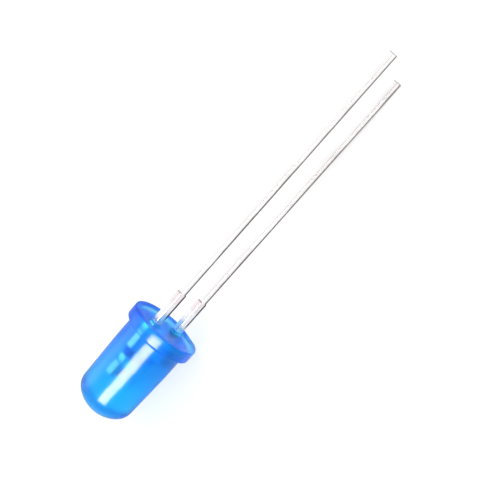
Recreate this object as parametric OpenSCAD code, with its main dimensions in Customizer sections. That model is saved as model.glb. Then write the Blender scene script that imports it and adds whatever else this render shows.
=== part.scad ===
// Round 5 mm light emitting diode for through hole mounting, lying on its cathode flat.
// The seat plane of the flange is x = 0, with the optical axis along X. The leads run
// towards +X, the dome points to -X, and the anode lies above the cathode along +Z.
// Inside the casting, a depth is measured from the seat plane towards the dome.

/* [Lens body] */
// Diameter of the straight stretch of the barrel
barrel_d = 5; // [4.1:0.05:6.5]
// How much the barrel's radius shrinks from its straight stretch to the dome
barrel_taper = 0.12; // [0:0.01:0.2]
// Length of the straight stretch above the flange, where a holder grips
grip_l = 1.8; // [1:0.1:2.5]
// Length of the casting from the seat plane to the top of the dome
lens_l = 8.8; // [7.3:0.1:12]
// Height of the dome
dome_h = 1.75; // [1.45:0.05:2.1]
// Radius of the rounded shoulder between barrel and dome
dome_shoulder_r = 1.35; // [0.8:0.05:1.4]
// How far the flange stands out from the barrel
flange_overhang = 0.45; // [0.37:0.01:0.8]
// Thickness of the flange
flange_t = 1.1; // [0.9:0.05:1.6]
// Distance from the barrel's wall out to the cathode flat
flat_step = 0.25; // [0.02:0.01:0.3]
// Rounding of the flange's edge on the dome side
flange_round = 0.2; // [0.05:0.01:0.24]
// Rounding of the flange's edge at the seat plane
seat_round = 0.08; // [0.02:0.01:0.1]
// Fillet between the flange and the barrel
barrel_fillet = 0.15; // [0.05:0.01:0.16]
// Width of the flat seat ring round the hollow base
seat_ring_w = 0.25; // [0.15:0.01:0.4]
// Depth of the hollow that the epoxy leaves in the base as it sets
hollow_depth = 0.2; // [0.05:0.01:0.35]
// Fillet of the epoxy that climbs each lead
meniscus_r = 0.3; // [0.2:0.01:0.4]

/* [Leads] */
// Distance between the two leads' centres
pitch = 2.54; // [2:0.01:3.1]
// Width of a lead
lead_w = 0.5; // [0.4:0.01:0.6]
// Thickness of the strip that the leads are stamped from
strip_t = 0.5; // [0.3:0.01:0.6]
// Length of the anode lead below the seat plane
anode_l = 26.5; // [10:0.1:35]
// How much shorter the cathode lead is
cathode_cutback = 1.3; // [1:0.1:3]
// Width of the stand-off stretch next to the casting
standoff_w = 0.72; // [0.6:0.01:0.9]
// Length of the stand-off stretch below the seat plane
standoff_l = 3.1; // [1:0.1:5]

/* [Frames inside the casting] */
// Depth of the post's top and of the cup's rim
frame_top = 5.3; // [5:0.05:6.4]
// Depth that the stand-off stretch reaches
shank_depth = 2.6; // [1.5:0.1:3]
// Width of the neck that the epoxy locks round
neck_w = 0.3; // [0.25:0.01:0.4]
// Distance of that neck's middle from the axis
neck_z = 1.05; // [1:0.01:1.15]
// Width of the barb on the anode's neck
barb_w = 0.5; // [0.42:0.01:0.6]
// Length of that barb
barb_l = 0.45; // [0.2:0.05:0.55]
// Length of neck between that barb and the post
barb_gap = 0.25; // [0.15:0.05:0.4]
// Width of the anode's post
post_w = 0.5; // [0.45:0.01:0.7]
// Length of the anode's post
post_l = 1.25; // [0.8:0.05:1.35]
// Gap between the cup's rim and the anode's post
post_gap = 0.2; // [0.15:0.01:0.4]
// Outer radius of the reflector cup
cup_r = 0.7; // [0.65:0.01:0.95]
// Radius of the cup's mouth
cup_mouth_r = 0.53; // [0.48:0.01:0.6]
// Radius of the cup's floor
cup_floor_r = 0.36; // [0.33:0.01:0.46]
// Depth of the cup's recess
cup_depth = 0.42; // [0.35:0.01:0.5]
// Height of the straight band round the cup's rim
cup_band_h = 0.3; // [0.1:0.01:0.4]
// Height of the whole cup, with the cone below it
cup_h = 0.95; // [0.8:0.01:1.2]

/* [Chip and bond wires] */
// Side of the square chip
chip_w = 0.32; // [0.25:0.01:0.38]
// Thickness of the chip
chip_h = 0.12; // [0.08:0.01:0.15]
// Radius of the adhesive under the chip
adhesive_r = 0.26; // [0.23:0.01:0.32]
// Thickness of the adhesive
adhesive_h = 0.03; // [0.02:0.01:0.05]
// Distance of each contact pad from the chip's centre
pad_offset = 0.1; // [0.07:0.01:0.11]
// Diameter of the bond wires
wire_d = 0.03; // [0.02:0.005:0.04]
// Height of the anode wire's loop above the frame's top
anode_loop_h = 0.45; // [0.3:0.05:0.6]
// Height of the cathode wire's loop above the frame's top
cathode_loop_h = 0.3; // [0.2:0.05:0.4]
// Radius of the bond at each end of a wire
bond_r = 0.045; // [0.035:0.005:0.05]
// Height of that bond
bond_h = 0.03; // [0.02:0.005:0.04]

/* [Hidden] */
$fn = 64;
epoxy_blue = [0.12, 0.5, 0.96];
tinned = [0.86, 0.86, 0.85];
gold = [0.93, 0.74, 0.3];
arc_steps = 6;
dome_steps = 14;
hollow_steps = 12;
wire_sides = 8;
wire_steps = 12;
// Overlap that makes two shapes of one piece a single solid
lap = 0.05;
// How far the foot of a meniscus is sunk, so that it runs out into the hollow
sink = 0.01;
// Longer than anything that is cut
far = 50;
// Share of its span at which a bond wire turns down to the frame
crest_share = 0.7;

// Casting
barrel_r = barrel_d / 2;
dome_base_r = barrel_r - barrel_taper;
dome_base = lens_l - dome_h;
grip_end = flange_t + barrel_fillet + grip_l;
flange_r = barrel_r + flange_overhang;
flat_r = barrel_r + flat_step;
hollow_r = flange_r - seat_round - seat_ring_w;
// The dome's crown is an arc about the axis that runs smoothly into the shoulder's arc
shoulder_c = dome_base_r - dome_shoulder_r;
crown_r = (dome_h * dome_h + shoulder_c * shoulder_c - dome_shoulder_r * dome_shoulder_r)
          / (2 * (dome_h - dome_shoulder_r));
crown_c = lens_l - crown_r;
crown_angle = atan2(dome_base - crown_c, shoulder_c);
crown_step = (90 - crown_angle) / dome_steps;

// Frames
lead_z = pitch / 2;
cathode_l = anode_l - cathode_cutback;
outer_z = lead_z + standoff_w / 2;
post_z = cup_r + post_gap + post_w / 2;
post_base = frame_top - post_l;
barb_mid = post_base - barb_gap - barb_l / 2;
cup_base = frame_top - cup_h;
cup_floor = frame_top - cup_depth;
meniscus_top_r = strip_t / 2 + lap;

// Chip
chip_base = cup_floor + adhesive_h;
chip_top = chip_base + chip_h;
rim_z = (cup_mouth_r + cup_r) / 2;
post_land_z = post_z - post_w / 4;

// Points of an arc of n steps about [cx, cy], from angle a0 to angle a1
function arc(cx, cy, r, a0, a1, n) =
    [for (i = [0:n]) let (a = a0 + (a1 - a0) * i / n) [cx + r * cos(a), cy + r * sin(a)]];

// The hollow is nearly flat in the middle and rises to the seat ring
function hollow_at(r) = hollow_depth * (1 - pow(r / hollow_r, 4));

// Point and slope of a cubic curve through p[0] and p[3], drawn towards p[1] and p[2]
function curve(p, t) = pow(1 - t, 3) * p[0] + 3 * t * pow(1 - t, 2) * p[1]
                       + 3 * t * t * (1 - t) * p[2] + pow(t, 3) * p[3];
function slope(p, t) = pow(1 - t, 2) * (p[1] - p[0]) + 2 * t * (1 - t) * (p[2] - p[1])
                       + t * t * (p[3] - p[2]);

// Turns a shape about Z into one about the optical axis, from this depth towards the dome
module on_axis(depth) {
    translate([-depth, 0, 0])
    rotate([0, -90, 0])
    children();
}

// Stamps an outline in X and Z from the strip
module stamp() {
    rotate([90, 0, 0])
    linear_extrude(strip_t, center = true)
    children();
}

// A straight stretch of strip from x0 to x1, centred on z
module bar(x0, x1, z, w) {
    translate([x0, z - w / 2])
    square([x1 - x0, w]);
}

// Half section of the casting, as radius and depth
module lens_section() {
    polygon(concat(
        [for (i = [0:hollow_steps]) let (r = hollow_r * i / hollow_steps) [r, hollow_at(r)]],
        arc(flange_r - seat_round, seat_round, seat_round, -90, 0, arc_steps),
        arc(flange_r - flange_round, flange_t - flange_round, flange_round, 0, 90, arc_steps),
        arc(barrel_r + barrel_fillet, flange_t + barrel_fillet, barrel_fillet, -90, -180, arc_steps),
        [[barrel_r, grip_end]],
        arc(shoulder_c, dome_base, dome_shoulder_r, 0, crown_angle, dome_steps),
        arc(0, crown_c, crown_r, crown_angle + crown_step, 90, dome_steps - 1)
    ));
}

// Epoxy drawn up round a lead, from just under the hollow's floor
module meniscus() {
    foot_r = meniscus_top_r + meniscus_r;
    translate([-hollow_depth - sink, 0, 0])
    rotate([0, 90, 0])
    rotate_extrude()
    polygon(concat(
        [[0, -lap], [foot_r, -lap]],
        arc(foot_r, meniscus_r, meniscus_r, 270, 180, arc_steps),
        [[0, meniscus_r]]
    ));
}

module lens_blank() {
    difference() {
        on_axis(0) rotate_extrude() lens_section();
        translate([-far / 2, -far / 2, -flat_r - far])
        cube([far, far, far]);
    }
    for (z = [-lead_z, lead_z]) translate([0, 0, z]) meniscus();
}

module lens_body() {
    color(epoxy_blue)
    difference() {
        lens_blank();
        anode_frame();
        cathode_frame();
        led_chip();
        adhesive();
        anode_bond_wire();
        cathode_bond_wire();
    }
}

module anode_frame() {
    color(tinned)
    stamp() {
        bar(0, anode_l, lead_z, lead_w);
        bar(-shank_depth, standoff_l, lead_z, standoff_w);
        bar(-post_base - lap, -shank_depth + lap, neck_z, neck_w);
        bar(-barb_mid - barb_l / 2, -barb_mid + barb_l / 2, neck_z, barb_w);
        bar(-frame_top, -post_base, post_z, post_w);
    }
}

// The anvil reaches from the lead to the axis and carries the cup
module anvil_outline() {
    polygon([
        [-shank_depth + lap, -outer_z],
        [-cup_base, -outer_z],
        [-cup_floor, -cup_r],
        [-cup_floor, 0],
        [-cup_base, cup_floor_r],
        [-barb_mid, cup_floor_r],
        [-shank_depth, -lead_z + standoff_w / 2],
        [-shank_depth + lap, -lead_z + standoff_w / 2]
    ]);
}

module cathode_frame() {
    color(tinned)
    difference() {
        union() {
            stamp() {
                bar(0, cathode_l, -lead_z, lead_w);
                bar(-shank_depth, standoff_l, -lead_z, standoff_w);
                anvil_outline();
            }
            on_axis(0)
            rotate_extrude()
            polygon([[0, cup_base], [cup_floor_r, cup_base], [cup_r, frame_top - cup_band_h],
                     [cup_r, frame_top], [0, frame_top]]);
        }
        on_axis(0)
        rotate_extrude()
        polygon([[0, cup_floor], [cup_floor_r, cup_floor], [cup_mouth_r, frame_top],
                 [cup_mouth_r, frame_top + lap], [0, frame_top + lap]]);
    }
}

module led_chip() {
    color("lightsteelblue")
    on_axis(chip_base)
    translate([-chip_w / 2, -chip_w / 2, 0])
    cube([chip_w, chip_w, chip_h]);
}

module adhesive() {
    color("whitesmoke")
    on_axis(cup_floor)
    cylinder(r = adhesive_r, h = adhesive_h);
}

// Round wire along a curve in X and Z, given as four points
module wire(p) {
    points = [for (i = [0:wire_steps], k = [0:wire_sides - 1])
        let (c = curve(p, i / wire_steps), s = slope(p, i / wire_steps), a = 360 * k / wire_sides,
             out = wire_d / 2 * cos(a) * [-s.y, s.x] / norm(s))
        [c.x + out.x, wire_d / 2 * sin(a), c.y + out.y]];
    sides = [for (i = [0:wire_steps - 1], k = [0:wire_sides - 1])
        let (a = i * wire_sides + k, b = i * wire_sides + (k + 1) % wire_sides)
        each [[a, b, a + wire_sides], [b, b + wire_sides, a + wire_sides]]];
    ends = [[for (k = [wire_sides - 1:-1:0]) k],
            [for (k = [0:wire_sides - 1]) wire_steps * wire_sides + k]];
    polyhedron(points, concat(sides, ends));
}

// A wire with its bonds, from the chip's pad at z0 to the frame's top at z1
module bond_wire(z0, z1, loop_h) {
    start = -chip_top - bond_h / 2;
    end = -frame_top - bond_h / 2;
    crest = -frame_top - loop_h;
    color(gold) {
        wire([[start, z0], [crest, z0], [crest, z0 + crest_share * (z1 - z0)], [end, z1]]);
        translate([0, 0, z0]) on_axis(chip_top) cylinder(r = bond_r, h = bond_h, $fn = wire_sides);
        translate([0, 0, z1]) on_axis(frame_top) cylinder(r = bond_r, h = bond_h, $fn = wire_sides);
    }
}

module anode_bond_wire() {
    bond_wire(pad_offset, post_land_z, anode_loop_h);
}

module cathode_bond_wire() {
    bond_wire(-pad_offset, -rim_z, cathode_loop_h);
}

lens_body();
anode_frame();
cathode_frame();
led_chip();
adhesive();
anode_bond_wire();
cathode_bond_wire();
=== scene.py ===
"""Through hole LED lying on a pale floor: tinted clear epoxy round a stamped and tinned lead frame.

The row's frame has its origin at the middle of the flange's seat plane, on the optical axis. The leads
run out along +X, the dome points along -X, and the anode lead is the one at +Z. Sizes and places are in
millimetres, and are scaled to metres where they go into a mesh, a node or the camera; lamps and the
floor's reach are in metres. A depth is measured from the seat plane towards the dome, so it is -X.
Colours are shares of red, green and blue.
"""
import math

import bpy
import numpy as np
from mathutils import Matrix, Vector


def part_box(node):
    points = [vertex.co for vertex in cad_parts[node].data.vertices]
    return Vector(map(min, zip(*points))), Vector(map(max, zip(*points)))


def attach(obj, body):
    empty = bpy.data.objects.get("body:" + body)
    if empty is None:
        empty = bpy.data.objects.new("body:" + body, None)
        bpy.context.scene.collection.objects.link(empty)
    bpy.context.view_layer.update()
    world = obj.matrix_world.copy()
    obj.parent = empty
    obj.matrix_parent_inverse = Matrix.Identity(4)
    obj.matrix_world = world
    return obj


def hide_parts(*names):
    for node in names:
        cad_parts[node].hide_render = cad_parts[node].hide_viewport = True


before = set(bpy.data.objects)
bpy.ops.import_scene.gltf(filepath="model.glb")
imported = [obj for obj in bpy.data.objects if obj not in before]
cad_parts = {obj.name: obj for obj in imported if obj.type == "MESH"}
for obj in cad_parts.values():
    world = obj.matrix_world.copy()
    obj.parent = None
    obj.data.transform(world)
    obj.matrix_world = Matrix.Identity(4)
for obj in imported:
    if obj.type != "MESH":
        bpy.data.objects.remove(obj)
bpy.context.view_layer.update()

MM = 0.001

# ---------------------------------------------------------------- sizes, in millimetres
lens_low, lens_high = (np.array(corner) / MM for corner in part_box("lens_body"))
anode_low, anode_high = (np.array(corner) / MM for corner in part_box("anode_frame"))
cathode_low, cathode_high = (np.array(corner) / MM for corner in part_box("cathode_frame"))

# the casting: dome, drawn barrel, flange with its flat, and the hollow seat
LENS_L = -lens_low[0]
DOME_H = 1.75
SHOULDER_R = 1.35
BARREL_R = 2.5
BARREL_TAPER = 0.12
BARREL_FILLET = 0.15
GRIP_L = 1.8
FLANGE_R = lens_high[1]
FLANGE_T = 1.1
FLANGE_ROUND = 0.2
FLAT_R = -lens_low[2]
FLAT_CORNER = 0.02  # softness of the corner where the flat meets the round
FLAT_SINK = 0.06  # how far inside the barrel's surface the drawing in starts
SEAT_ROUND = 0.08
SEAT_RING_W = 0.25  # flat ring round the hollow
HOLLOW_DEPTH = 0.2
MENISCUS_R = 0.3
MENISCUS_CORNER = 0.1  # corner radius of the square that a meniscus follows
SEAT_MARGIN = 0.02  # how far past the hollow's floor still counts as the seat

# the two stamped frames and the coined cup
ANODE_L = anode_high[0]
CATHODE_L = cathode_high[0]
FRAME_TOP = -cathode_low[0]
STRIP_T = anode_high[1] - anode_low[1]
LEAD_Z = 1.27
LEAD_W = 0.5
STANDOFF_W = 0.72
STANDOFF_L = 3.1
SHANK_DEPTH = 2.6
NECK_W = 0.3
NECK_Z = 1.05
BARB_W = 0.5
BARB_L = 0.45
BARB_GAP = 0.25
POST_W = 0.5
POST_L = 1.25
POST_GAP = 0.2
STEP = 0.04  # a change of width takes one or two of these
DIE_ROLL = (0.04, 0.06)  # radius of the edges at +y and at -y
FRAME_END_ROUND = 0.03
CUP_R = 0.7
CUP_MOUTH_R = 0.53
CUP_FLOOR_R = 0.36
CUP_DEPTH = 0.42
CUP_BAND_H = 0.3
CUP_H = 0.95
CUP_LIP = 0.03
CUP_FLOOR_FILLET = (0.03, 0.05)  # its reach outward and upward

# what is sealed inside the epoxy
CHIP_W = 0.32
CHIP_H = 0.12
CHIP_CORNERS = (0.01, 0.01)  # radius of the edges at +y and at -y
CHIP_END_ROUND = 0.008
ADHESIVE_R = 0.26
ADHESIVE_H = 0.03
ADHESIVE_EDGE = 0.06  # width of the rounded edge
ADHESIVE_SINK = 0.005  # reach below the cup's floor
ADHESIVE_OVER = 0.01  # added height, which wets the chip's foot
PAD_OFFSET = 0.1  # from the axis to each of the chip's contacts
WIRE_D = 0.03
ANODE_LOOP_H = 0.45
CATHODE_LOOP_H = 0.3
BOND_R = 0.045
BOND_H = 0.03

# depths and heights that follow from them
POST_Z = CUP_R + POST_GAP + POST_W / 2
POST_BASE = FRAME_TOP - POST_L
BARB_MID = POST_BASE - BARB_GAP - BARB_L / 2
CUP_BASE = FRAME_TOP - CUP_H
CUP_FLOOR = FRAME_TOP - CUP_DEPTH
CHIP_BASE = CUP_FLOOR + ADHESIVE_H
CHIP_TOP = CHIP_BASE + CHIP_H
POST_LAND_Z = POST_Z - POST_W / 4
CUP_RIM_MID = (CUP_MOUTH_R + CUP_R) / 2

# shares of a size, and powers
HOLLOW_EDGE = 0.9
HOLLOW_POWER = 4
CUP_RIM_ROUND = 0.45
CREST_SHARE = 0.7  # how far along its way the wire's crest reaches
BOND_POWER = 0.6
WIDEST_CORNER = 0.98  # of half a side

# angles, in degrees
CROWN_POLE = 89.6  # where the dome's grid stops short of its tip
BOND_POLE = 88  # where a bond's grid stops short of its ends
CREASE_ANGLE = 40.0

# how finely the surfaces are divided: counts, and a spacing in millimetres
LENS_COLUMNS = 288
CUP_COLUMNS = 72
ADHESIVE_COLUMNS = 40
BOND_COLUMNS = 20
WIRE_COLUMNS = 12
WIRE_ROWS = 49
CORNER_POINTS = 8
END_POINTS = 7
STRIP_SPACING = 0.25

# small values that keep a profile off the axis and a division off zero
SAME_POINT = 1e-7
NOT_ZERO = 1e-9
LEAST_COSINE = 1e-3
NEAR_AXIS = 0.01
NEAR_AXIS_LENS = 0.02


# ---------------------------------------------------------------- mesh helpers
def eased(start, end, points):
    """Values from start to end that crowd together at both ends, by half a cosine wave."""
    share = 0.5 - 0.5 * np.cos(np.linspace(0, math.pi, points))
    return start + (end - start) * share


def arc(across, along, radius, angle_from, angle_to, points):
    """Points (across, along) on a circle about a centre, between two angles in degrees."""
    angle = np.radians(np.linspace(angle_from, angle_to, points))
    return np.column_stack([across + radius * np.cos(angle), along + radius * np.sin(angle)])


def line(start, end, points):
    """Points on a straight line between two points, crowded at its ends."""
    return np.column_stack([eased(start[0], end[0], points), eased(start[1], end[1], points)])


def joined(*parts):
    """Stretches of a profile laid end to end, with the doubled end points taken out."""
    points = np.concatenate(parts)
    moved = np.linalg.norm(np.diff(points, axis=0), axis=1) > SAME_POINT
    return points[np.concatenate([[True], moved])]


def skin(grid, start, end):
    """Closed skin over a grid of points. Rows run along the shape and columns go round it; each end is
    closed by a fan of triangles to a pole point. Faces are turned outwards by the sign of the volume."""
    rows, columns = grid.shape[:2]
    points = np.concatenate([grid.reshape(-1, 3), [start], [end]])
    row, column = np.meshgrid(np.arange(rows - 1), np.arange(columns), indexing="ij")
    following = (column + 1) % columns
    quads = np.stack(
        [
            row * columns + column,
            row * columns + following,
            (row + 1) * columns + following,
            (row + 1) * columns + column,
        ],
        axis=-1,
    ).reshape(-1, 4)
    ring = np.arange(columns)
    after = (ring + 1) % columns
    last = (rows - 1) * columns
    start_pole = rows * columns
    end_pole = start_pole + 1
    near = np.column_stack([np.full(columns, start_pole), after, ring])
    away = np.column_stack([np.full(columns, end_pole), last + ring, last + after])
    thirds = np.concatenate([quads[:, [0, 1, 2]], quads[:, [0, 2, 3]], near, away])
    a, b, c = (points[thirds[:, k]] for k in range(3))
    if np.einsum("ij,ij->i", a, np.cross(b, c)).sum() < 0:
        quads, near, away = quads[:, ::-1], near[:, ::-1], away[:, ::-1]
    return points, quads, np.concatenate([near, away])


def piece(name, skins, material):
    """Makes one object of closed skins, smooth but for its creases, riding on the row's one body."""
    points, faces, first = [], [], 0
    for skin_points, quads, triangles in skins:
        points.append(skin_points)
        faces += (quads + first).tolist() + (triangles + first).tolist()
        first += len(skin_points)
    mesh = bpy.data.meshes.new(name)
    mesh.from_pydata(np.concatenate(points) * MM, [], faces)
    mesh.shade_smooth()
    mesh.set_sharp_from_angle(angle=math.radians(CREASE_ANGLE))
    mesh.materials.append(material)
    made = bpy.data.objects.new(name, mesh)
    bpy.context.scene.collection.objects.link(made)
    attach(made, "root")
    return made


def turned(profile, columns):
    """Profile of (radius, depth) turned about the optical axis: y and z are the radius times the sine
    and cosine of the angle, x is minus the depth."""
    angle = np.arange(columns) * (2 * math.pi / columns)
    radius, depth = profile[:, :1], profile[:, 1:]
    return np.stack(
        [-depth + 0 * angle, radius * np.sin(angle), radius * np.cos(angle)], axis=-1
    )


def turned_skin(profile, columns, middle=(0.0, 0.0)):
    """Closed skin of a profile whose two ends are near the axis. middle moves it in y and z."""
    grid = turned(profile, columns)
    grid[..., 1:] += middle
    return skin(grid, (-profile[0, 1], *middle), (-profile[-1, 1], *middle))


def strip_skin(x, z_low, z_high, half_y, corners, end_round):
    """Rounded rectangle carried along X: its sides in z follow two lines, its sides in y stay at
    half_y. corners gives the radius of its edges at +y and at -y; each edge is a quarter circle about
    its own centre. Near each end every side draws in along a quarter circle of radius end_round."""
    x_fine = np.unique(np.concatenate([
        x,
        np.linspace(x[0], x[0] + end_round, END_POINTS),
        np.linspace(x[-1] - end_round, x[-1], END_POINTS),
        np.arange(x[0], x[-1], STRIP_SPACING),
    ]))
    to_end = np.minimum(x_fine - x[0], x[-1] - x_fine).clip(0, end_round)
    inset = end_round - np.sqrt((end_round ** 2 - (end_round - to_end) ** 2).clip(0))
    low = np.interp(x_fine, x, z_low) + inset
    high = np.interp(x_fine, x, z_high) - inset
    middle, half_z = ((low + high) / 2)[:, None], ((high - low) / 2)[:, None]
    half_y = (half_y - inset)[:, None]
    quarter = np.repeat(np.arange(4), CORNER_POINTS)
    angle = np.radians(quarter * 90 + np.tile(np.linspace(0, 90, CORNER_POINTS), 4))
    side_y = np.sign(np.cos(np.radians(quarter * 90 + 45)))
    side_z = np.sign(np.sin(np.radians(quarter * 90 + 45)))
    corner = np.where(side_y > 0, corners[0], corners[1])
    radius = np.minimum(np.minimum(corner, half_z * WIDEST_CORNER), half_y * WIDEST_CORNER)
    y = side_y * (half_y - radius) + radius * np.cos(angle)
    z = middle + side_z * (half_z - radius) + radius * np.sin(angle)
    grid = np.stack([x_fine[:, None] + 0 * y, y, z], axis=-1)
    return skin(grid, (x_fine[0], 0, middle[0, 0]), (x_fine[-1], 0, middle[-1, 0]))


def frame_skin(rows):
    """Stamped strip from rows of (x, z of the low side, z of the high side), one strip thickness deep
    in y, with a larger die roll on its -y edges."""
    x, z_low, z_high = np.array(rows, float).T
    return strip_skin(x, z_low, z_high, STRIP_T / 2, DIE_ROLL, FRAME_END_ROUND)


# ---------------------------------------------------------------- the lens
def lens_profile():
    """Half section of the casting from the dome's tip to the middle of the seat, as radius and depth.
    The crown is an arc about the axis that runs smoothly into the shoulder's arc. The barrel is drawn
    in along a straight line above its grip, and meets the flange in a quarter circle. The hollow's
    depth falls off with the fourth power of the radius."""
    base_r = BARREL_R - BARREL_TAPER
    dome_base = LENS_L - DOME_H
    shoulder_c = base_r - SHOULDER_R
    crown_r = (DOME_H ** 2 + shoulder_c ** 2 - SHOULDER_R ** 2) / (2 * (DOME_H - SHOULDER_R))
    crown_c = LENS_L - crown_r
    crown_angle = math.degrees(math.atan2(dome_base - crown_c, shoulder_c))
    fillet_top = FLANGE_T + BARREL_FILLET
    grip_end = fillet_top + GRIP_L
    round_r = FLANGE_R - FLANGE_ROUND
    round_depth = FLANGE_T - FLANGE_ROUND
    ring_r = FLANGE_R - SEAT_ROUND
    hollow_r = ring_r - SEAT_RING_W
    radius = np.concatenate([
        eased(hollow_r, hollow_r * HOLLOW_EDGE, points=6)[:-1],
        np.linspace(hollow_r * HOLLOW_EDGE, NEAR_AXIS_LENS, num=64),
    ])
    hollow = np.column_stack([radius, HOLLOW_DEPTH * (1 - (radius / hollow_r) ** HOLLOW_POWER)])
    return joined(
        arc(0, crown_c, crown_r, CROWN_POLE, crown_angle, points=36),
        arc(shoulder_c, dome_base, SHOULDER_R, crown_angle, 0, points=22),
        line((base_r, dome_base), (BARREL_R, grip_end), points=14),
        line((BARREL_R, grip_end), (BARREL_R, fillet_top), points=8),
        arc(BARREL_R + BARREL_FILLET, fillet_top, BARREL_FILLET, 180, 270, points=9),
        line((BARREL_R + BARREL_FILLET, FLANGE_T), (round_r, FLANGE_T), points=4),
        arc(round_r, round_depth, FLANGE_ROUND, 90, 0, points=11),
        line((FLANGE_R, round_depth), (FLANGE_R, SEAT_ROUND), points=8),
        arc(ring_r, SEAT_ROUND, SEAT_ROUND, 0, -90, points=8),
        line((ring_r, 0), (hollow_r, 0), points=6),
        hollow,
    )


def cut_flat(grid):
    """Draws the flange in to the cathode's flat: beyond the barrel, a radius is scaled so that the
    flange's edge lies on the flat. Where the flat meets the round, the smaller of the two radii is
    taken with a soft corner, by half of their sum less the root of their squared difference."""
    x, y, z = np.moveaxis(grid, -1, 0)
    radius = np.hypot(y, z)
    inner = BARREL_R - FLAT_SINK
    toward_flat = (-z / np.maximum(radius, NOT_ZERO)).clip(LEAST_COSINE)
    edge = FLAT_R / toward_flat
    limit = 0.5 * (edge + FLANGE_R - np.sqrt((edge - FLANGE_R) ** 2 + FLAT_CORNER ** 2))
    drawn = inner + (radius - inner) * ((limit - inner) / (FLANGE_R - inner)).clip(0, 1)
    on_flange = (x > -FLANGE_T - BARREL_FILLET) & (radius > inner)
    scale = np.where(on_flange, drawn / np.maximum(radius, NOT_ZERO), 1)
    return np.stack([x, y * scale, z * scale], axis=-1)


def raise_menisci(grid):
    """Lifts the seat's hollow round each lead into a small concave collar. Its height above the floor
    is a quarter circle in the distance from the lead's rounded square."""
    x, y, z = np.moveaxis(grid, -1, 0)
    seat = (x > -HOLLOW_DEPTH - SEAT_MARGIN) & (np.hypot(y, z) < FLANGE_R - SEAT_RING_W)
    lift = np.zeros_like(x)
    for lead_z in (-LEAD_Z, LEAD_Z):
        away_y = (np.abs(y) - STRIP_T / 2 + MENISCUS_CORNER).clip(0)
        away_z = (np.abs(z - lead_z) - STANDOFF_W / 2 + MENISCUS_CORNER).clip(0)
        away = (np.hypot(away_y, away_z) - MENISCUS_CORNER).clip(0, MENISCUS_R)
        lift = np.maximum(lift, MENISCUS_R - np.sqrt(MENISCUS_R ** 2 - (MENISCUS_R - away) ** 2))
    return np.stack([x + np.where(seat, lift, 0), y, z], axis=-1)


def lens_skin():
    """The casting: its half section turned about the axis, with the flat and the menisci worked in."""
    grid = raise_menisci(cut_flat(turned(lens_profile(), LENS_COLUMNS)))
    return skin(grid, (-LENS_L, 0, 0), (-HOLLOW_DEPTH, 0, 0))


# ---------------------------------------------------------------- the stamped frames
def anode_rows():
    """Outline of the anode's frame as x and the z of its two sides: each row is a middle height and a
    width, and a change of width takes one short step."""
    def row(x, z, w):
        return (x, z - w / 2, z + w / 2)

    barb_start = -BARB_MID - BARB_L / 2
    barb_end = -BARB_MID + BARB_L / 2
    return [
        row(-FRAME_TOP, POST_Z, POST_W),
        row(-POST_BASE - STEP, POST_Z, POST_W),
        row(-POST_BASE + STEP, NECK_Z, NECK_W),
        row(barb_start - STEP / 2, NECK_Z, NECK_W),
        row(barb_start + STEP / 2, NECK_Z, BARB_W),
        row(barb_end - STEP / 2, NECK_Z, BARB_W),
        row(barb_end + STEP / 2, NECK_Z, NECK_W),
        row(-SHANK_DEPTH - STEP / 2, NECK_Z, NECK_W),
        row(-SHANK_DEPTH + STEP / 2, LEAD_Z, STANDOFF_W),
        row(STANDOFF_L - STEP, LEAD_Z, STANDOFF_W),
        row(STANDOFF_L + STEP, LEAD_Z, LEAD_W),
        row(ANODE_L, LEAD_Z, LEAD_W),
    ]


def cathode_rows():
    """Outline of the cathode's frame, from the anvil under the cup to the end of its lead, as x and the
    z of its two sides."""
    outer = -LEAD_Z - STANDOFF_W / 2
    inner = -LEAD_Z + STANDOFF_W / 2
    lead_outer = -LEAD_Z - LEAD_W / 2
    lead_inner = -LEAD_Z + LEAD_W / 2
    return [
        (-CUP_FLOOR, -CUP_R, 0.0),
        (-CUP_BASE, outer, CUP_FLOOR_R),
        (-BARB_MID, outer, CUP_FLOOR_R),
        (-SHANK_DEPTH, outer, inner),
        (STANDOFF_L - STEP, outer, inner),
        (STANDOFF_L + STEP, lead_outer, lead_inner),
        (CATHODE_L, lead_outer, lead_inner),
    ]


def cup_skin():
    """The reflector cup, turned about the axis: outer cone and band, rounded rim, coined bowl and
    floor."""
    rim_r = (CUP_R - CUP_MOUTH_R) / 2 * CUP_RIM_ROUND
    fillet_r, fillet_h = CUP_FLOOR_FILLET
    band_base = FRAME_TOP - CUP_BAND_H
    profile = joined(
        line((NEAR_AXIS, CUP_BASE), (CUP_FLOOR_R, CUP_BASE), points=5),
        line((CUP_FLOOR_R, CUP_BASE), (CUP_R, band_base), points=6),
        line((CUP_R, band_base), (CUP_R, FRAME_TOP - rim_r), points=5),
        arc(CUP_R - rim_r, FRAME_TOP - rim_r, rim_r, 0, 90, points=6),
        line((CUP_RIM_MID, FRAME_TOP), (CUP_MOUTH_R + CUP_LIP, FRAME_TOP), points=3),
        line(
            (CUP_MOUTH_R, FRAME_TOP - CUP_LIP),
            (CUP_FLOOR_R + fillet_r, CUP_FLOOR + fillet_h),
            points=8,
        ),
        line((CUP_FLOOR_R, CUP_FLOOR), (NEAR_AXIS, CUP_FLOOR), points=6),
    )
    return turned_skin(profile, CUP_COLUMNS)


# ---------------------------------------------------------------- chip and bond wires
def chip_skin():
    """The chip: a rounded square carried along X for its own height, with barely rounded edges."""
    x = np.array([-CHIP_TOP, -CHIP_BASE])
    half = CHIP_W / 2
    return strip_skin(x, np.full(2, -half), np.full(2, half), half, CHIP_CORNERS, CHIP_END_ROUND)


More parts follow.
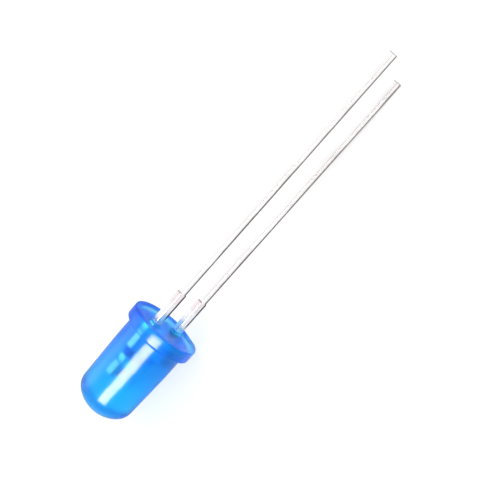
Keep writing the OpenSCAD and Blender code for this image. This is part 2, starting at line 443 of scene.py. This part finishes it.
def adhesive_skin():
    """The adhesive, a low round pad whose edge is a quarter of an ellipse."""
    angle = np.linspace(0, math.pi / 2, num=8)
    base = CUP_FLOOR - ADHESIVE_SINK
    edge = np.column_stack([
        ADHESIVE_R - ADHESIVE_EDGE * (1 - np.cos(angle)),
        base + (ADHESIVE_H + ADHESIVE_OVER) * np.sin(angle),
    ])
    flat = line((NEAR_AXIS, base), (ADHESIVE_R, base), points=5)
    top = line((edge[-1, 0], edge[-1, 1]), (NEAR_AXIS, edge[-1, 1]), points=5)
    return turned_skin(joined(flat, edge, top), ADHESIVE_COLUMNS)


def wire_skin(z_pad, z_land, loop_h):
    """Round wire along a cubic curve in X and Z, whose four handles are the pad, two points at the
    crest's height and the landing: the circle's two axes are Y and the normal of the curve in its
    plane."""
    start = -CHIP_TOP - BOND_H / 2
    end = -FRAME_TOP - BOND_H / 2
    crest = -FRAME_TOP - loop_h
    handles = np.array([
        (start, z_pad),
        (crest, z_pad),
        (crest, z_pad + CREST_SHARE * (z_land - z_pad)),
        (end, z_land),
    ])
    t = np.linspace(0, 1, WIRE_ROWS)[:, None]
    weights = np.hstack([(1 - t) ** 3, 3 * t * (1 - t) ** 2, 3 * t ** 2 * (1 - t), t ** 3])
    path = weights @ handles
    slope = np.gradient(path, axis=0)
    normal = np.column_stack([-slope[:, 1], slope[:, 0]]) / np.linalg.norm(slope, axis=1)[:, None]
    angle = np.arange(WIRE_COLUMNS) * (2 * math.pi / WIRE_COLUMNS)
    radius = WIRE_D / 2
    x = path[:, :1] + radius * np.cos(angle) * normal[:, :1]
    z = path[:, 1:] + radius * np.cos(angle) * normal[:, 1:]
    y = radius * np.sin(angle) + 0 * x
    ends = [(path[k, 0], 0, path[k, 1]) for k in (0, -1)]
    return skin(np.stack([x, y, z], axis=-1), *ends)


def ball_skin(depth, z):
    """Ball bond squashed on its pad: a circle of radius BOND_R drawn flat along the axis, with its
    sides filled out by a power of the cosine."""
    angle = np.radians(np.linspace(-BOND_POLE, BOND_POLE, num=15))
    profile = np.column_stack([
        BOND_R * np.cos(angle) ** BOND_POWER,
        depth + BOND_H / 2 + BOND_H / 2 * np.sin(angle),
    ])
    return turned_skin(profile, BOND_COLUMNS, middle=(0.0, z))


# ---------------------------------------------------------------- benches on which finishes are mixed
# a colour mix's sockets by their places, as its sockets for other kinds of value share their names
COLOUR_MIX = {"share": 0, "low": 6, "high": 7, "mixed": 2}
# the noise's middle values, which are spread over the whole range
CLOUD_MIDDLE = (0.3, 0.7)


class Bench:
    """A node tree at work, with a short name for each step that the finishes are mixed from. What goes
    into a step is a socket, which is linked, or a plain number or colour, which is set."""

    def __init__(self, tree):
        self.nodes = tree.nodes
        self.links = tree.links

    def node(self, kind):
        """A new node of one kind."""
        return self.nodes.new(kind)

    def feed(self, value, target):
        """Links a socket to an input, or sets the input."""
        if isinstance(value, bpy.types.NodeSocket):
            self.links.new(value, target)
        else:
            target.default_value = value

    def place(self):
        """The place of a point in its piece's own frame."""
        return self.node("ShaderNodeTexCoord").outputs["Object"]

    def axes(self, place):
        """The three coordinates of a place: along the leads, aside, and height."""
        parts = self.node("ShaderNodeSeparateXYZ")
        self.feed(place, parts.inputs[0])
        return parts.outputs["X"], parts.outputs["Y"], parts.outputs["Z"]

    def off_axis(self, aside, height):
        """Distance from the optical axis, as the length of the part of a place across it."""
        across = self.node("ShaderNodeCombineXYZ")
        self.feed(aside, across.inputs["Y"])
        self.feed(height, across.inputs["Z"])
        length = self.node("ShaderNodeVectorMath")
        length.operation = "LENGTH"
        self.feed(across.outputs[0], length.inputs[0])
        return length.outputs["Value"]

    def ranged(self, value, low, high, start=0.0, end=1.0):
        """Runs from low to high as a value runs from start to end, and stays level outside them."""
        node = self.node("ShaderNodeMapRange")
        self.feed(start, node.inputs["From Min"])
        self.feed(end, node.inputs["From Max"])
        self.feed(low, node.inputs["To Min"])
        self.feed(high, node.inputs["To Max"])
        self.feed(value, node.inputs["Value"])
        return node.outputs["Result"]

    def rising(self, distance, start, end):
        """Share that rises from 0 to 1 between two distances in millimetres."""
        return self.ranged(distance, 0.0, 1.0, start * MM, end * MM)

    def falling(self, distance, start, end):
        """Share that falls from 1 to 0 between two distances in millimetres."""
        return self.ranged(distance, 1.0, 0.0, start * MM, end * MM)

    def maths(self, operation, *values):
        """One step of arithmetic."""
        node = self.node("ShaderNodeMath")
        node.operation = operation
        for value, target in zip(values, node.inputs):
            self.feed(value, target)
        return node.outputs[0]

    def product(self, first, *others):
        """Product of several shares, as for a patch that is bounded on several sides."""
        for other in others:
            first = self.maths("MULTIPLY", first, other)
        return first

    def total(self, first, *others):
        """Sum of several values."""
        for other in others:
            first = self.maths("ADD", first, other)
        return first

    def mixed(self, share, low, high):
        """A colour between two, by a share that varies over the surface."""
        mix = self.node("ShaderNodeMix")
        mix.data_type = "RGBA"
        self.feed(share, mix.inputs[COLOUR_MIX["share"]])
        for name, colour in (("low", low), ("high", high)):
            opaque = (*colour, 1) if isinstance(colour, tuple) else colour
            self.feed(opaque, mix.inputs[COLOUR_MIX[name]])
        return mix.outputs[COLOUR_MIX["mixed"]]

    def blended(self, share, low, high):
        """A number between two, by a share."""
        mix = self.node("ShaderNodeMix")
        mix.data_type = "FLOAT"
        self.feed(share, mix.inputs["Factor"])
        self.feed(low, mix.inputs["A"])
        self.feed(high, mix.inputs["B"])
        return mix.outputs["Result"]

    def clouds(self, place, scale, detail=4.0, stretch=(1, 1, 1)):
        """The clouds group, on a place stretched along each axis. scale counts clouds to the metre."""
        mapping = self.node("ShaderNodeMapping")
        self.feed(stretch, mapping.inputs["Scale"])
        self.feed(place, mapping.inputs["Vector"])
        group = self.node("ShaderNodeGroup")
        group.node_tree = CLOUDS
        self.feed(scale, group.inputs["Scale"])
        self.feed(detail, group.inputs["Detail"])
        self.feed(mapping.outputs["Vector"], group.inputs["Vector"])
        return group.outputs["Amount"]

    def bumped(self, height, strength, distance):
        """Normal of a surface that a pattern raises by a distance in millimetres."""
        node = self.node("ShaderNodeBump")
        self.feed(strength, node.inputs["Strength"])
        self.feed(distance * MM, node.inputs["Distance"])
        self.feed(height, node.inputs["Height"])
        return node.outputs["Normal"]


def clouds_group():
    """Cloudy patches for every finish: noise of one scale, its middle values spread from 0 to 1."""
    group = bpy.data.node_groups.new("clouds", "ShaderNodeTree")
    for name in ("Scale", "Detail"):
        group.interface.new_socket(name, in_out="INPUT", socket_type="NodeSocketFloat")
    group.interface.new_socket("Vector", in_out="INPUT", socket_type="NodeSocketVector")
    group.interface.new_socket("Amount", in_out="OUTPUT", socket_type="NodeSocketFloat")
    bench = Bench(group)
    inward = bench.node("NodeGroupInput")
    outward = bench.node("NodeGroupOutput")
    noise = bench.node("ShaderNodeTexNoise")
    for name in ("Vector", "Scale", "Detail"):
        bench.feed(inward.outputs[name], noise.inputs[name])
    amount = bench.ranged(noise.outputs["Fac"], 0.0, 1.0, *CLOUD_MIDDLE)
    bench.feed(amount, outward.inputs["Amount"])
    return group


CLOUDS = clouds_group()


def new_finish(name):
    """A material with one Principled shader. Returns it, the bench on its nodes, and the shader."""
    material = bpy.data.materials.new(name)
    material.use_nodes = True
    tree = material.node_tree
    return material, Bench(tree), tree.nodes["Principled BSDF"]


# ---------------------------------------------------------------- the epoxy
EPOXY_CLOUD_SCALE = 700.0
EPOXY_GRAIN_SCALE = 2600.0
EPOXY_SCUFF_SCALE = 2100.0
EPOXY_CLEAR = (0.56, 0.88, 1.0)
EPOXY_CLOUDED = (0.64, 0.96, 1.0)
# painted shade: the skin's colour by the flange, deeper where the flange and the frame shade it
EPOXY_SHADE_BY_FLANGE = (0.31, 0.55, 0.98)
EPOXY_SHADE_DEEPENS = (-6.8, -1.8)
EPOXY_ROUGHNESS = (0.32, 0.4)
EPOXY_BUMP = 0.03
EPOXY_BUMP_H = 0.1
EPOXY_IOR = 1.53
EPOXY_REFLECTED = (0.05, 0.32, 0.9, 1.0)

# the poured face of the seat, by its distance from the axis: painted paler as light reflected and let
# through there, with a painted reflection in the hollow, a painted highlight on the rim and painted
# shade on the far stretch of rim
SEAT_STARTS = (-0.6, -0.1)
SEAT_PAINTED_LIGHT = (0.28, 0.97, 1.0)
SEAT_PAINTED_REFLECTION = (0.9, 1.0, 1.0)
SEAT_REFLECTION_R = 2.0
SEAT_REFLECTION_FADES = (0.15, 0.3)
SEAT_RIM_HIGHLIGHT = (0.48, 1.0, 1.0)
SEAT_HIGHLIGHT_STARTS = (2.55, 2.75)
FAR_RIM_SHADE = (0.06, 0.38, 1.0)
FAR_SHADE_STARTS = (2.3, 2.45)
FAR_SHADE_SIDE = (-0.5, 0.5)

# gloss of the coat: higher where the epoxy was moulded, low where it was poured
GLOSS_SCUFFED = (0.8, 1.05)
GLOSS_MOULDED = 0.45
GLOSS_POURED = 0.08
GLOSS_DROPS = (-0.4, -0.1)
GLOSS_ROUGHNESS = 0.14

# light lost in each metre of epoxy, and the density that it is written for
TAKEN_PER_METRE = (850.0, 160.0, 4.0)
DENSITY = 1000.0


def epoxy_material():
    """Clear tinted epoxy, which takes red and some green from the light by the depth it crosses. Its
    skin is clouded, and painted deeper towards the flange as shade from the flange and the frame. The
    poured seat is painted paler as light reflected and let through there, with a painted reflection as a
    light ring in its hollow, a painted highlight on its rim, and painted shade on a stretch of rim on
    the far side. The gloss of its coat is scuffed, and low on the seat."""
    material, bench, shader = new_finish("tinted_epoxy")
    place = bench.place()
    cloud = bench.clouds(place, EPOXY_CLOUD_SCALE)
    grain = bench.clouds(place, EPOXY_GRAIN_SCALE, detail=3.0)
    scuffs = bench.clouds(place, EPOXY_SCUFF_SCALE, detail=5.0)
    along, aside, height = bench.axes(place)
    off_axis = bench.off_axis(aside, height)

    skin_colour = bench.mixed(cloud, EPOXY_CLEAR, EPOXY_CLOUDED)
    # painted shade: the skin is painted deeper towards the flange
    skin_colour = bench.mixed(bench.rising(along, *EPOXY_SHADE_DEEPENS), skin_colour, EPOXY_SHADE_BY_FLANGE)
    # painted reflection: a light ring in the seat's hollow, on a seat painted paler as light
    off_reflection = bench.maths("ABSOLUTE", bench.maths("SUBTRACT", off_axis, SEAT_REFLECTION_R * MM))
    seat_colour = bench.mixed(bench.falling(off_reflection, *SEAT_REFLECTION_FADES), SEAT_PAINTED_LIGHT, SEAT_PAINTED_REFLECTION)
    # painted highlight: the seat's rim is painted paler
    seat_colour = bench.mixed(bench.rising(off_axis, *SEAT_HIGHLIGHT_STARTS), seat_colour, SEAT_RIM_HIGHLIGHT)
    # painted shade: the far stretch of the seat's rim is painted deeper blue
    far_rim_shade = bench.product(bench.rising(off_axis, *FAR_SHADE_STARTS), bench.rising(aside, *FAR_SHADE_SIDE))
    seat_colour = bench.mixed(far_rim_shade, seat_colour, FAR_RIM_SHADE)
    # painted light: from the seat's start on, the seat's painted colours take the place of the skin's
    colour = bench.mixed(bench.rising(along, *SEAT_STARTS), skin_colour, seat_colour)
    bench.feed(colour, shader.inputs["Base Color"])
    bench.feed(bench.ranged(grain, *EPOXY_ROUGHNESS), shader.inputs["Roughness"])
    bench.feed(bench.bumped(cloud, EPOXY_BUMP, EPOXY_BUMP_H), shader.inputs["Normal"])

    drop_start, drop_end = (at * MM for at in GLOSS_DROPS)
    gloss = bench.product(
        bench.ranged(scuffs, *GLOSS_SCUFFED),
        bench.ranged(along, GLOSS_MOULDED, GLOSS_POURED, drop_start, drop_end),
    )
    bench.feed(gloss, shader.inputs["Coat Weight"])
    bench.feed(GLOSS_ROUGHNESS, shader.inputs["Coat Roughness"])
    bench.feed(EPOXY_IOR, shader.inputs["IOR"])
    bench.feed(1.0, shader.inputs["Transmission Weight"])
    bench.feed(EPOXY_REFLECTED, shader.inputs["Specular Tint"])

    absorb = bench.node("ShaderNodeVolumeAbsorption")
    kept = [1 - taken / DENSITY for taken in TAKEN_PER_METRE]
    bench.feed((*kept, 1), absorb.inputs["Color"])
    bench.feed(DENSITY, absorb.inputs["Density"])
    bench.feed(absorb.outputs["Volume"], bench.nodes["Material Output"].inputs["Volume"])
    return material


# ---------------------------------------------------------------- the tinned steel
ROLLED_SCALE = 900.0
ROLLED_STRETCH = (0.08, 6.0, 6.0)
TIN_CLOUD_SCALE = 500.0
TIN_CLEAN = (0.88, 0.87, 0.87)
TIN_CLOUDED = (0.94, 0.94, 0.94)
TIN_ROUGHNESS = (0.18, 0.34)
TIN_BUMP = 0.12
TIN_BUMP_H = 0.01

# duller tin on the anode's post and on the cathode's buried root
POST_TIN = (0.66, 0.66, 0.66)
POST_ENDS = (-4.2, -3.6)
POST_ABOVE = (0.75, 0.85)
ROOT_TIN = (0.5, 0.5, 0.5)
ROOT_STARTS = (-2.8, -2.4)
ROOT_ENDS = (-0.3, -0.1)
ROOT_BELOW = (-0.3, -0.2)

# dark blue painted shade on the anode's neck, between its barb and its shank
NECK_PAINTED_SHADE = (0.12, 0.17, 0.38)
NECK_STARTS = (-3.36, -3.3)
NECK_ENDS = (-2.68, -2.62)
NECK_ABOVE = (0.4, 0.5)

# copper flash where the tie bar between the stand-offs was cut away
FLASH_COLOUR = (0.84, 0.73, 0.76)
FLASH_STARTS = (2.0, 2.2)
FLASH_ENDS = (3.1, 3.2)
FLASH_PATCHY = (0.4, 1.0)

# painted shade along the lower edge of each lead, in the colour of bare steel, and bare steel on the cut
# tips
STANDOFF_EDGE_SHADE = (0.08, 0.07, 0.07)
STEM_EDGE_SHADE = (0.18, 0.165, 0.165)
TIP_STEEL_AND_EDGE_SHADE = (0.27, 0.25, 0.25)
STEM_STARTS = (3.0, 3.2)
STEEL_AND_SHADE_PALES = (10.0, 18.0)
WIDTH_CHANGES = (STANDOFF_L - STEP, STANDOFF_L + STEP)
EDGE_SHADE_WAVER = 0.03
EDGE_SHADE_FADES = (0.19, 0.25)
EDGE_SHADE_STARTS = (0.3, 0.9)
TIP_SIDES = (-0.1, 0.1)
TIP_FADES = (0.05, 0.1)
TIP_BARE = 0.5


def tin_material():
    """Tin plate over steel strip: rolled lines along the lead and soft clouds. The tin is duller on the
    anode's post and the cathode's root, painted dark blue as shade on the anode's neck, and pink where
    the tie bar was cut away. Painted shade runs as a dark line along the lower edge of each lead, in the
    colour of bare steel, darkest on the stand-off and paler outward, and the cut tips are half bare
    steel."""
    material, bench, shader = new_finish("tinned_steel")
    place = bench.place()
    rolled = bench.clouds(place, ROLLED_SCALE, detail=5.0, stretch=ROLLED_STRETCH)
    cloud = bench.clouds(place, TIN_CLOUD_SCALE)
    along, _, height = bench.axes(place)

    tin = bench.mixed(cloud, TIN_CLEAN, TIN_CLOUDED)
    on_post = bench.product(bench.falling(along, *POST_ENDS), bench.rising(height, *POST_ABOVE))
    tin = bench.mixed(on_post, tin, POST_TIN)
    flash = bench.product(
        bench.rising(along, *FLASH_STARTS),
        bench.falling(along, *FLASH_ENDS),
        bench.ranged(cloud, *FLASH_PATCHY),
    )
    tin = bench.mixed(flash, tin, FLASH_COLOUR)
    root = bench.product(
        bench.falling(along, *ROOT_ENDS),
        bench.rising(along, *ROOT_STARTS),
        bench.falling(height, *ROOT_BELOW),
    )
    tin = bench.mixed(root, tin, ROOT_TIN)
    # painted shade: the anode's neck is painted dark blue
    neck_shade = bench.product(
        bench.rising(along, *NECK_STARTS),
        bench.falling(along, *NECK_ENDS),
        bench.rising(height, *NECK_ABOVE),
    )
    tin = bench.mixed(neck_shade, tin, NECK_PAINTED_SHADE)

    # both leads at once: the height wrapped by the pitch, measured from a lead's lower edge
    on_lead = bench.maths("WRAP", height, 2 * LEAD_Z * MM, 0.0)
    from_middle = bench.maths("SUBTRACT", on_lead, LEAD_Z * MM)
    wide, narrow = (width / 2 * MM for width in (STANDOFF_W, LEAD_W))
    change_start, change_end = (at * MM for at in WIDTH_CHANGES)
    half_w = bench.ranged(along, wide, narrow, change_start, change_end)
    waver = bench.ranged(cloud, -EDGE_SHADE_WAVER * MM, EDGE_SHADE_WAVER * MM)
    above_edge = bench.total(from_middle, half_w, waver)
    # painted shade: a dark line along the lower edge of each lead
    edge_shade = bench.product(
        bench.falling(above_edge, *EDGE_SHADE_FADES),
        bench.rising(along, *EDGE_SHADE_STARTS),
    )

    # the tip's place is the cathode's below the axis and the anode's above it
    side_start, side_end = (at * MM for at in TIP_SIDES)
    tip = bench.ranged(height, CATHODE_L * MM, ANODE_L * MM, side_start, side_end)
    at_tip = bench.falling(bench.maths("SUBTRACT", tip, along), *TIP_FADES)
    bare_and_shade = bench.maths("MAXIMUM", edge_shade, bench.product(at_tip, TIP_BARE))

    # bare steel on the cut tips, and painted shade along the lower edges, darkest on the stand-off
    steel_and_shade = bench.mixed(bench.rising(along, *STEEL_AND_SHADE_PALES), STEM_EDGE_SHADE, TIP_STEEL_AND_EDGE_SHADE)
    steel_and_shade = bench.mixed(bench.rising(along, *STEM_STARTS), STANDOFF_EDGE_SHADE, steel_and_shade)
    bench.feed(bench.mixed(bare_and_shade, tin, steel_and_shade), shader.inputs["Base Color"])
    bench.feed(bench.ranged(rolled, *TIN_ROUGHNESS), shader.inputs["Roughness"])
    bench.feed(bench.bumped(rolled, TIN_BUMP, TIN_BUMP_H), shader.inputs["Normal"])
    bench.feed(1.0, shader.inputs["Metallic"])
    return material


# ---------------------------------------------------------------- gold, sapphire and adhesive
ROUGHNESS_SPREAD = (0.7, 1.3)
SMALL_BUMP = 0.1
SMALL_BUMP_H = 0.002


def small_finish(name, tones, roughness, metallic, scale):
    """A small piece's finish: two near colours in clouds, with roughness and bump from them."""
    material, bench, shader = new_finish(name)
    cloud = bench.clouds(bench.place(), scale)
    smooth, rough = (roughness * share for share in ROUGHNESS_SPREAD)
    bench.feed(bench.mixed(cloud, *tones), shader.inputs["Base Color"])
    bench.feed(bench.ranged(cloud, smooth, rough), shader.inputs["Roughness"])
    bench.feed(bench.bumped(cloud, SMALL_BUMP, SMALL_BUMP_H), shader.inputs["Normal"])
    bench.feed(metallic, shader.inputs["Metallic"])
    return material


EPOXY = epoxy_material()
TIN = tin_material()
GOLD = small_finish(
    "gold_wire",
    tones=((0.93, 0.68, 0.27), (0.98, 0.79, 0.4)),
    roughness=0.22,
    metallic=1.0,
    scale=20000.0,
)
SAPPHIRE = small_finish(
    "sapphire_chip",
    tones=((0.55, 0.6, 0.66), (0.75, 0.8, 0.86)),
    roughness=0.25,
    metallic=0.0,
    scale=9000.0,
)
ADHESIVE = small_finish(
    "die_adhesive",
    tones=((0.72, 0.72, 0.7), (0.85, 0.85, 0.83)),
    roughness=0.55,
    metallic=0.0,
    scale=12000.0,
)

# ---------------------------------------------------------------- pieces
lens = piece("lens", [lens_skin()], EPOXY)
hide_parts("lens_body")

anode = piece("anode_lead", [frame_skin(anode_rows())], TIN)
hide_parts("anode_frame")
cathode = piece("cathode_lead", [frame_skin(cathode_rows())], TIN)
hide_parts("cathode_frame")
piece("reflector_cup", [cup_skin()], TIN)

chip = piece("chip", [chip_skin()], SAPPHIRE)
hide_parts("led_chip")
pad = piece("die_adhesive_pad", [adhesive_skin()], ADHESIVE)
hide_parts("adhesive")

anode_wire = piece(
    "anode_wire",
    [
        wire_skin(PAD_OFFSET, POST_LAND_Z, ANODE_LOOP_H),
        ball_skin(CHIP_TOP, PAD_OFFSET),
        ball_skin(FRAME_TOP, POST_LAND_Z),
    ],
    GOLD,
)
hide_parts("anode_bond_wire")
cathode_wire = piece(
    "cathode_wire",
    [
        wire_skin(-PAD_OFFSET, -CUP_RIM_MID, CATHODE_LOOP_H),
        ball_skin(CHIP_TOP, -PAD_OFFSET),
        ball_skin(FRAME_TOP, -CUP_RIM_MID),
    ],
    GOLD,
)
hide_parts("cathode_bond_wire")


# ---------------------------------------------------------------- the floor
FLOOR_REACH = 3.0
FLOOR_GREY = (0.5, 0.5, 0.5, 1)
FLOOR_SEEN = 0.7
FLOOR_THROUGH = 0.63
FLOOR_MIRRORED = 0.1
FLOOR_MIRRORED_BY_LEADS = 0.56
BY_LEADS_STARTS = (-3.5, 0.0)
NEAR_SIDE_ENDS = (-0.5, 0.5)


def floor_material():
    """Pale matt floor. It glows where it is seen, and seen through the epoxy, so that it is nearly
    white there and still takes a shadow. Gloss shows it dimmer, but for the near side by the leads."""
    material = bpy.data.materials.new("pale_floor")
    material.use_nodes = True
    bench = Bench(material.node_tree)
    bench.nodes.clear()
    diffuse = bench.node("ShaderNodeBsdfDiffuse")
    bench.feed(FLOOR_GREY, diffuse.inputs["Color"])
    along, aside, _ = bench.axes(bench.place())
    leads_start, leads_end = (at * MM for at in BY_LEADS_STARTS)
    by_leads = bench.ranged(along, 0.0, FLOOR_MIRRORED_BY_LEADS, leads_start, leads_end)
    near_side = bench.falling(aside, *NEAR_SIDE_ENDS)
    mirrored = bench.total(bench.product(by_leads, near_side), FLOOR_MIRRORED)
    rays = bench.node("ShaderNodeLightPath").outputs
    strength = bench.total(
        bench.product(rays["Is Camera Ray"], FLOOR_SEEN),
        bench.product(rays["Is Transmission Ray"], FLOOR_THROUGH),
        bench.product(rays["Is Glossy Ray"], mirrored),
    )
    glow = bench.node("ShaderNodeEmission")
    bench.feed(strength, glow.inputs["Strength"])
    both = bench.node("ShaderNodeAddShader")
    bench.feed(diffuse.outputs[0], both.inputs[0])
    bench.feed(glow.outputs[0], both.inputs[1])
    bench.feed(both.outputs[0], bench.node("ShaderNodeOutputMaterial").inputs["Surface"])
    return material


def floor_object():
    """A wide plain sheet that the flange's flat and the tip of the cathode's lead both touch."""
    rest_z = -FLAT_R * MM
    tip_z = (-LEAD_Z - LEAD_W / 2) * MM
    rise = (tip_z - rest_z) / (CATHODE_L * MM)
    corners = [
        (across_x * FLOOR_REACH, across_y * FLOOR_REACH, rest_z + across_x * FLOOR_REACH * rise)
        for across_x, across_y in ((-1, -1), (1, -1), (1, 1), (-1, 1))
    ]
    mesh = bpy.data.meshes.new("floor")
    mesh.from_pydata(corners, [], [(0, 1, 2, 3)])
    mesh.materials.append(floor_material())
    made = bpy.data.objects.new("floor", mesh)
    bpy.context.scene.collection.objects.link(made)


# ---------------------------------------------------------------- light, in metres
KEY_TOWARD = (-0.12, 0.75, 0.6)
KEY_DISTANCE = 0.6
KEY_SIZE = (0.9, 0.45)
KEY_RADIANCE = 0.62

STRIP_PLACE = (-0.122, -0.2012, 0.2225)
STRIP_TOWARD = (0, -0.671, 0.742)
STRIP_ALONG = (1, 0.3, 0.27)
STRIP_SIZE = (0.13, 0.19)
STRIP_RADIANCE = 39.5
STRIP_COLOUR = (1.0, 0.75, 0.7)

WINDOW_TOWARD = (-0.282, 0.659, 0.692)
WINDOW_DISTANCE = 0.5
WINDOW_SIZE = (0.3, 0.3)
WINDOW_RADIANCE = 3.5
WINDOW_COLOUR = (1.0, 0.42, 0.55)

FAR_AND_HIGH = (0.0, 0.77, 0.63)
WORLD_LIGHT = 0.75
WORLD_MIRRORED = (0.2, 0.53)
WORLD_TURNS = (-0.6, 0.0)
WHITE = (1, 1, 1, 1)


def placed(right, up, back, place):
    """Matrix of an object whose own axes point along right, up and back, at a place in metres."""
    return Matrix((
        (right.x, up.x, back.x, place[0]),
        (right.y, up.y, back.y, place[1]),
        (right.z, up.z, back.z, place[2]),
        (0, 0, 0, 1),
    ))


def ahead(toward, distance):
    """The place that lies at a distance from the origin in a direction."""
    return [share * distance for share in Vector(toward).normalized()]


def softbox(name, place, toward, size, radiance, along=(1, 0, 0), colour=(1, 1, 1)):
    """A flat lamp at a place, facing back from the direction toward, with its length turned as near as
    it can be to along. Its power is its plain radiance times pi and its area."""
    length, width = size
    data = bpy.data.lights.new(name, "AREA")
    data.shape = "RECTANGLE"
    data.size = length
    data.size_y = width
    data.energy = radiance * math.pi * length * width
    data.color = colour
    made = bpy.data.objects.new(name, data)
    back = Vector(toward).normalized()
    side = (Vector(along) - Vector(along).dot(back) * back).normalized()
    made.matrix_world = placed(side, back.cross(side), back, place)
    bpy.context.scene.collection.objects.link(made)
    return made


def world_light():
    """Plain white surround: white where it is seen, softer as light, and darker in gloss low on the
    near side."""
    world = bpy.data.worlds.new("surround")
    bpy.context.scene.world = world
    world.use_nodes = True
    bench = Bench(world.node_tree)
    rays = bench.node("ShaderNodeLightPath").outputs
    toward = bench.node("ShaderNodeVectorMath")
    toward.operation = "DOT_PRODUCT"
    bench.feed(bench.node("ShaderNodeTexCoord").outputs["Generated"], toward.inputs[0])
    bench.feed(FAR_AND_HIGH, toward.inputs[1])
    mirrored = bench.ranged(toward.outputs["Value"], *WORLD_MIRRORED, *WORLD_TURNS)
    lit = bench.blended(rays["Is Glossy Ray"], WORLD_LIGHT, mirrored)
    seen = bench.maths("MAXIMUM", rays["Is Camera Ray"], rays["Is Transmission Ray"])
    background = bench.nodes["Background"]
    bench.feed(bench.blended(seen, lit, 1.0), background.inputs["Strength"])
    bench.feed(WHITE, background.inputs["Color"])


floor_object()
world_light()
softbox("key_softbox", ahead(KEY_TOWARD, KEY_DISTANCE), KEY_TOWARD, KEY_SIZE, KEY_RADIANCE)

# a strip that shows only in gloss, as the long highlight on the barrel
strip = softbox(
    "strip_softbox",
    STRIP_PLACE,
    STRIP_TOWARD,
    STRIP_SIZE,
    STRIP_RADIANCE,
    along=STRIP_ALONG,
    colour=STRIP_COLOUR,
)
strip.visible_diffuse = False
strip.visible_transmission = False
strip.visible_volume_scatter = False

# a window that shows only through the epoxy
window = softbox(
    "window_softbox",
    ahead(WINDOW_TOWARD, WINDOW_DISTANCE),
    WINDOW_TOWARD,
    WINDOW_SIZE,
    WINDOW_RADIANCE,
    colour=WINDOW_COLOUR,
)
window.visible_diffuse = False
window.visible_glossy = False
window.visible_volume_scatter = False

# ---------------------------------------------------------------- camera
CAMERA_LENS = 78.4
CAMERA_SENSOR = 36.0
CAMERA_CLIP = (0.001, 20.0)  # in metres
CAMERA_RIGHT = (0.65083, -0.50041, -0.57097)
CAMERA_UP = (0.73512, 0.60334, 0.30918)
CAMERA_PLACE = (23.738, -48.474, 59.689)

# how often light may bounce in gloss
GLOSSY_BOUNCES = 12


def camera_object():
    """Camera above the leads, turned so that they run up to the right."""
    data = bpy.data.cameras.new("camera")
    data.lens = CAMERA_LENS
    data.sensor_width = CAMERA_SENSOR
    data.clip_start, data.clip_end = CAMERA_CLIP
    made = bpy.data.objects.new("camera", data)
    right, up = Vector(CAMERA_RIGHT), Vector(CAMERA_UP)
    made.matrix_world = placed(right, up, right.cross(up), Vector(CAMERA_PLACE) * MM)
    bpy.context.scene.collection.objects.link(made)
    bpy.context.scene.camera = made


camera_object()
bpy.context.scene.view_settings.view_transform = "Standard"
bpy.context.scene.cycles.glossy_bounces = GLOSSY_BOUNCES
